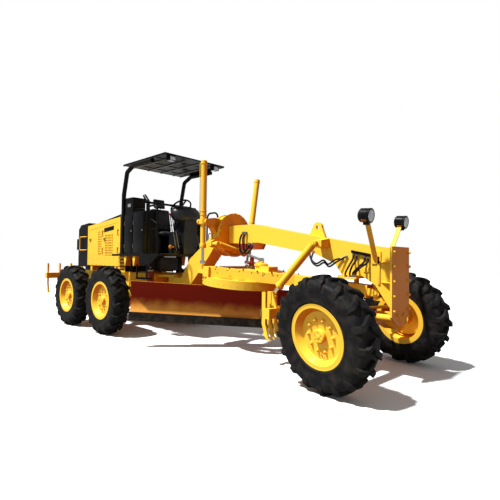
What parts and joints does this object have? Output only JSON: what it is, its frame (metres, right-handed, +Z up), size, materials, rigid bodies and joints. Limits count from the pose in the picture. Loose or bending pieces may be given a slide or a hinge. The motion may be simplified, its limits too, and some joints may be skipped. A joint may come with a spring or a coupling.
{
  "type": "motor grader",
  "caption": "Tandem-drive motor grader with jointed frame, circle-mounted blade, scarifier, rear ripper and open operator's platform under a roof.",
  "frame": {"origin": "centre of the machine's outline on the ground", "axes": "+X to the front of the machine, +Y to the driver's left, +Z up"},
  "size_m": [9.0181, 2.7422, 3.3151],
  "materials": {
    "yellow_paint": "gloss",
    "blade_paint": "gloss",
    "black_paint": "satin",
    "engine_paint": "satin",
    "edge_steel": "satin",
    "polished_steel": "polished",
    "tyre_rubber": "matt",
    "seat_cover": "matt"
  },
  "bodies": {
    "rear_frame": {"rear_frame": "yellow_paint", "engine_block": "engine_paint", "engine_hood": "yellow_paint", "radiator_housing": "black_paint", "exhaust_pipe": "black_paint", "operator_platform": "black_paint", "side_cabinets": "black_paint", "control_console": "black_paint", "operator_seat": "seat_cover", "guard_frame": "black_paint", "canopy_roof": "black_paint"},
    "front_frame": {"front_frame": "yellow_paint", "blade_saddle": "yellow_paint", "work_lamps": "black_paint"},
    "front_axle": {"front_axle": "yellow_paint"},
    "lean_bar": {"lean_bar": "yellow_paint"},
    "tie_rod_end": {"tie_rod_end": "yellow_paint"},
    "tie_rod": {"tie_rod": "yellow_paint"},
    "draw_ball": {"draw_ball": "yellow_paint"},
    "drawbar": {"drawbar": "yellow_paint"},
    "circle": {"circle_ring": "yellow_paint"},
    "carriage": {"blade_carriage": "yellow_paint"},
    "blade": {"mouldboard": "blade_paint", "cutting_edge": "edge_steel"},
    "centre_barrel": {"centre_shift_barrel": "yellow_paint"},
    "centre_rod": {"centre_shift_rod": "polished_steel"},
    "scarifier": {"scarifier": "yellow_paint"},
    "scarifier_barrel": {"scarifier_barrel": "yellow_paint"},
    "scarifier_rod": {"scarifier_rod": "polished_steel"},
    "ripper_arms": {"ripper_arms": "yellow_paint"},
    "ripper_beam": {"ripper_beam": "yellow_paint"},
    "ripper_barrel": {"ripper_barrel": "yellow_paint"},
    "ripper_rod": {"ripper_rod": "polished_steel"},
    "lean_bracket_right": {"lean_bracket_right": "yellow_paint"},
    "steering_knuckle_right": {"steering_knuckle_right": "yellow_paint"},
    "steer_wheel_right": {"steer_tyre_right": "tyre_rubber", "steer_rim_right": "yellow_paint"},
    "tandem_right": {"tandem_case_right": "yellow_paint"},
    "front_drive_wheel_right": {"front_drive_tyre_right": "tyre_rubber", "front_drive_rim_right": "yellow_paint"},
    "front_hood_door_right": {"front_hood_door_right": "yellow_paint"},
    "rear_drive_wheel_right": {"rear_drive_tyre_right": "tyre_rubber", "rear_drive_rim_right": "yellow_paint"},
    "rear_hood_door_right": {"rear_hood_door_right": "yellow_paint"},
    "lift_barrel_right": {"lift_barrel_right": "yellow_paint"},
    "lift_rod_right": {"lift_rod_right": "polished_steel"},
    "lean_bracket_left": {"lean_bracket_left": "yellow_paint"},
    "steering_knuckle_left": {"steering_knuckle_left": "yellow_paint"},
    "steer_wheel_left": {"steer_tyre_left": "tyre_rubber", "steer_rim_left": "yellow_paint"},
    "tandem_left": {"tandem_case_left": "yellow_paint"},
    "front_drive_wheel_left": {"front_drive_tyre_left": "tyre_rubber", "front_drive_rim_left": "yellow_paint"},
    "front_hood_door_left": {"front_hood_door_left": "yellow_paint"},
    "rear_drive_wheel_left": {"rear_drive_tyre_left": "tyre_rubber", "rear_drive_rim_left": "yellow_paint"},
    "rear_hood_door_left": {"rear_hood_door_left": "yellow_paint"},
    "lift_barrel_left": {"lift_barrel_left": "yellow_paint"},
    "lift_rod_left": {"lift_rod_left": "polished_steel"}
  },
  "joints": [
    {"name": "articulation", "type": "hinge", "parent": "rear_frame", "child": "front_frame", "pos_m": [-0.254, 0, 0.925], "axis": [0, 0, -1], "range_deg": [-25, 25]},
    {"name": "tandem_swing_right", "type": "hinge", "parent": "rear_frame", "child": "tandem_right", "pos_m": [-1.824, -0.7, 0.7], "axis": [0, 1, 0], "range_deg": [-15, 15]},
    {"name": "front_drive_wheel_spin_right", "type": "hinge", "parent": "tandem_right", "child": "front_drive_wheel_right", "pos_m": [-1.057, -1.016, 0.64], "axis": [0, 1, 0], "continuous": true},
    {"name": "rear_drive_wheel_spin_right", "type": "hinge", "parent": "tandem_right", "child": "rear_drive_wheel_right", "pos_m": [-2.591, -1.016, 0.64], "axis": [0, 1, 0], "continuous": true},
    {"name": "tandem_swing_left", "type": "hinge", "parent": "rear_frame", "child": "tandem_left", "pos_m": [-1.824, 0.7, 0.7], "axis": [0, 1, 0], "range_deg": [-15, 15]},
    {"name": "front_drive_wheel_spin_left", "type": "hinge", "parent": "tandem_left", "child": "front_drive_wheel_left", "pos_m": [-1.057, 1.016, 0.64], "axis": [0, 1, 0], "continuous": true},
    {"name": "rear_drive_wheel_spin_left", "type": "hinge", "parent": "tandem_left", "child": "rear_drive_wheel_left", "pos_m": [-2.591, 1.016, 0.64], "axis": [0, 1, 0], "continuous": true},
    {"name": "axle_swing", "type": "hinge", "parent": "front_frame", "child": "front_axle", "pos_m": [3.846, 0, 0.75], "axis": [1, 0, 0], "range_deg": [-13.7, 18.3]},
    {"name": "lean_right", "type": "hinge", "parent": "front_axle", "child": "lean_bracket_right", "pos_m": [3.846, -0.76459, 0.6418], "axis": [1, 0, 0], "range_deg": [-27.9, 8.1]},
    {"name": "steer_right", "type": "hinge", "parent": "lean_bracket_right", "child": "steering_knuckle_right", "pos_m": [3.846, -0.89575, 0.66472], "axis": [0, 0.1317, -0.9913], "range_deg": [-52.6, 37.4]},
    {"name": "steer_wheel_spin_right", "type": "hinge", "parent": "steering_knuckle_right", "child": "steer_wheel_right", "pos_m": [3.82887, -1.02349, 0.64775], "axis": [0.1317, 0.9826, 0.1306], "continuous": true},
    {"name": "lean_left", "type": "hinge", "parent": "front_axle", "child": "lean_bracket_left", "pos_m": [3.846, 0.7519, 0.57409], "axis": [1, 0, 0], "range_deg": [-27.9, 8.1]},
    {"name": "steer_left", "type": "hinge", "parent": "lean_bracket_left", "child": "steering_knuckle_left", "pos_m": [3.846, 0.87252, 0.63047], "axis": [0, 0.1317, -0.9913], "range_deg": [-52.6, 37.4]},
    {"name": "steer_wheel_spin_left", "type": "hinge", "parent": "steering_knuckle_left", "child": "steer_wheel_left", "pos_m": [3.86313, 1.00027, 0.64745], "axis": [0.1317, 0.9826, 0.1306], "continuous": true},
    {"name": "lean_bar_pin", "type": "hinge", "parent": "lean_bracket_right", "child": "lean_bar", "pos_m": [3.846, -0.79752, 0.88962], "axis": [1, 0, 0], "range_deg": [-8.6, 28.4]},
    {"name": "tie_rod_end_turn", "type": "hinge", "parent": "steering_knuckle_right", "child": "tie_rod_end", "pos_m": [3.65766, -0.86685, 0.63729], "axis": [0, 0.1317, -0.9913], "range_deg": [-37.9, 53.1]},
    {"name": "tie_rod_pin", "type": "hinge", "parent": "tie_rod_end", "child": "tie_rod", "pos_m": [3.65766, -0.86685, 0.63729], "axis": [1, 0, 0], "range_deg": [-7.09, 24.4]},
    {"name": "drawbar_yaw", "type": "hinge", "parent": "front_frame", "child": "draw_ball", "pos_m": [3.946, 0, 1.05], "axis": [0, 0, 1], "range_deg": [-6, 6]},
    {"name": "drawbar_pitch", "type": "hinge", "parent": "draw_ball", "child": "drawbar", "pos_m": [3.946, 0, 1.05], "axis": [0, 1, 0], "range_deg": [-10, 2.5]},
    {"name": "circle_turn", "type": "hinge", "parent": "drawbar", "child": "circle", "pos_m": [1.60686, 0, 1.15232], "axis": [0.0779, 0, 0.997], "range_deg": [0, 87.2]},
    {"name": "blade_tilt", "type": "hinge", "parent": "circle", "child": "carriage", "pos_m": [1.41977, 0.13103, 0.52449], "axis": [0.6875, 0.7242, -0.0537], "range_deg": [-5, 15]},
    {"name": "blade_side_shift", "type": "slide", "parent": "carriage", "child": "blade", "axis": [0.6875, 0.7242, -0.0537], "range_m": [-0.6, 0.4]},
    {"name": "lift_barrel_swing_right", "type": "hinge", "parent": "front_frame", "child": "lift_barrel_right", "pos_m": [1.2497, -0.58, 2.045], "axis": [1, 0, 0], "range_deg": [-22.37, 22.37]},
    {"name": "lift_rod_slide_right", "type": "slide", "parent": "lift_barrel_right", "child": "lift_rod_right", "axis": [0, 0, -1], "range_m": [-0.1215, 0.4829]},
    {"name": "lift_barrel_swing_left", "type": "hinge", "parent": "front_frame", "child": "lift_barrel_left", "pos_m": [1.2497, 0.54, 1.945], "axis": [1, 0, 0], "range_deg": [-25.18, 25.18]},
    {"name": "lift_rod_slide_left", "type": "slide", "parent": "lift_barrel_left", "child": "lift_rod_left", "axis": [0, -0.1607, -0.987], "range_m": [-0.1205, 0.4788]},
    {"name": "centre_barrel_swing", "type": "hinge", "parent": "front_frame", "child": "centre_barrel", "pos_m": [1.50273, -0.5, 1.69], "axis": [1, 0, 0], "range_deg": [-20.51, 5.14]},
    {"name": "centre_rod_slide", "type": "slide", "parent": "centre_barrel", "child": "centre_rod", "axis": [0, 0.9734, -0.229], "range_m": [-0.2547, 0.2547]},
    {"name": "scarifier_lift", "type": "hinge", "parent": "front_frame", "child": "scarifier", "pos_m": [3.461, 0, 0.95], "axis": [0, 1, 0], "range_deg": [-35, 2]},
    {"name": "scarifier_barrel_swing", "type": "hinge", "parent": "front_frame", "child": "scarifier_barrel", "pos_m": [3.258, -0.4, 1.665], "axis": [0, 1, 0], "range_deg": [-21.32, 1.23]},
    {"name": "scarifier_rod_slide", "type": "slide", "parent": "scarifier_barrel", "child": "scarifier_rod", "axis": [-0.6984, 0, -0.7157], "range_m": [-0.0218, 0.3648]},
    {"name": "ripper_lift", "type": "hinge", "parent": "rear_frame", "child": "ripper_arms", "pos_m": [-3.574, 0, 0.85], "axis": [0, 1, 0], "range_deg": [-55, 8]},
    {"name": "ripper_beam_pin", "type": "hinge", "parent": "ripper_arms", "child": "ripper_beam", "pos_m": [-4.24764, 0, 0.99934], "axis": [0, 1, 0], "range_deg": [-8.5, 55.5]},
    {"name": "ripper_barrel_swing", "type": "hinge", "parent": "rear_frame", "child": "ripper_barrel", "pos_m": [-3.534, 0, 1.37], "axis": [0, 1, 0], "range_deg": [-8.35, 1.22]},
    {"name": "ripper_rod_slide", "type": "slide", "parent": "ripper_barrel", "child": "ripper_rod", "axis": [-0.5802, 0, -0.8145], "range_m": [-0.0366, 0.2454]},
    {"name": "front_hood_door_hinge_right", "type": "hinge", "parent": "rear_frame", "child": "front_hood_door_right", "pos_m": [-1.55325, -0.5605, 1.8], "axis": [0, 0, 1], "range_deg": [0, 100]},
    {"name": "rear_hood_door_hinge_right", "type": "hinge", "parent": "rear_frame", "child": "rear_hood_door_right", "pos_m": [-2.22325, -0.5605, 1.8], "axis": [0, 0, 1], "range_deg": [0, 100]},
    {"name": "front_hood_door_hinge_left", "type": "hinge", "parent": "rear_frame", "child": "front_hood_door_left", "pos_m": [-1.55325, 0.5605, 1.8], "axis": [0, 0, -1], "range_deg": [0, 100]},
    {"name": "rear_hood_door_hinge_left", "type": "hinge", "parent": "rear_frame", "child": "rear_hood_door_left", "pos_m": [-2.22325, 0.5605, 1.8], "axis": [0, 0, -1], "range_deg": [0, 100]}
  ],
  "couplings": [
    {"joint": "lean_left", "follows": "lean_right", "ratio": 1},
    {"joint": "steer_left", "follows": "steer_right", "ratio": 1},
    {"joint": "lean_bar_pin", "follows": "lean_right", "ratio": -1},
    {"joint": "tie_rod_end_turn", "follows": "steer_right", "ratio": -1},
    {"joint": "tie_rod_pin", "follows": "lean_right", "ratio": -0.8571},
    {"joint": "lift_barrel_swing_right", "follows": "drawbar_yaw", "ratio": -3.6534},
    {"joint": "lift_rod_slide_right", "follows": "drawbar_pitch", "m_per_rad": -2.7067},
    {"joint": "lift_barrel_swing_left", "follows": "drawbar_yaw", "ratio": -4.1122},
    {"joint": "lift_rod_slide_left", "follows": "drawbar_pitch", "m_per_rad": -2.6839},
    {"joint": "centre_barrel_swing", "follows": "drawbar_pitch", "ratio": 2.0103},
    {"joint": "centre_rod_slide", "follows": "drawbar_yaw", "m_per_rad": -2.3752},
    {"joint": "scarifier_barrel_swing", "follows": "scarifier_lift", "ratio": 0.597},
    {"joint": "scarifier_rod_slide", "follows": "scarifier_lift", "m_per_rad": -0.58388},
    {"joint": "ripper_beam_pin", "follows": "ripper_lift", "ratio": -1},
    {"joint": "ripper_barrel_swing", "follows": "ripper_lift", "ratio": 0.14863},
    {"joint": "ripper_rod_slide", "follows": "ripper_lift", "m_per_rad": -0.24966}
  ]
}
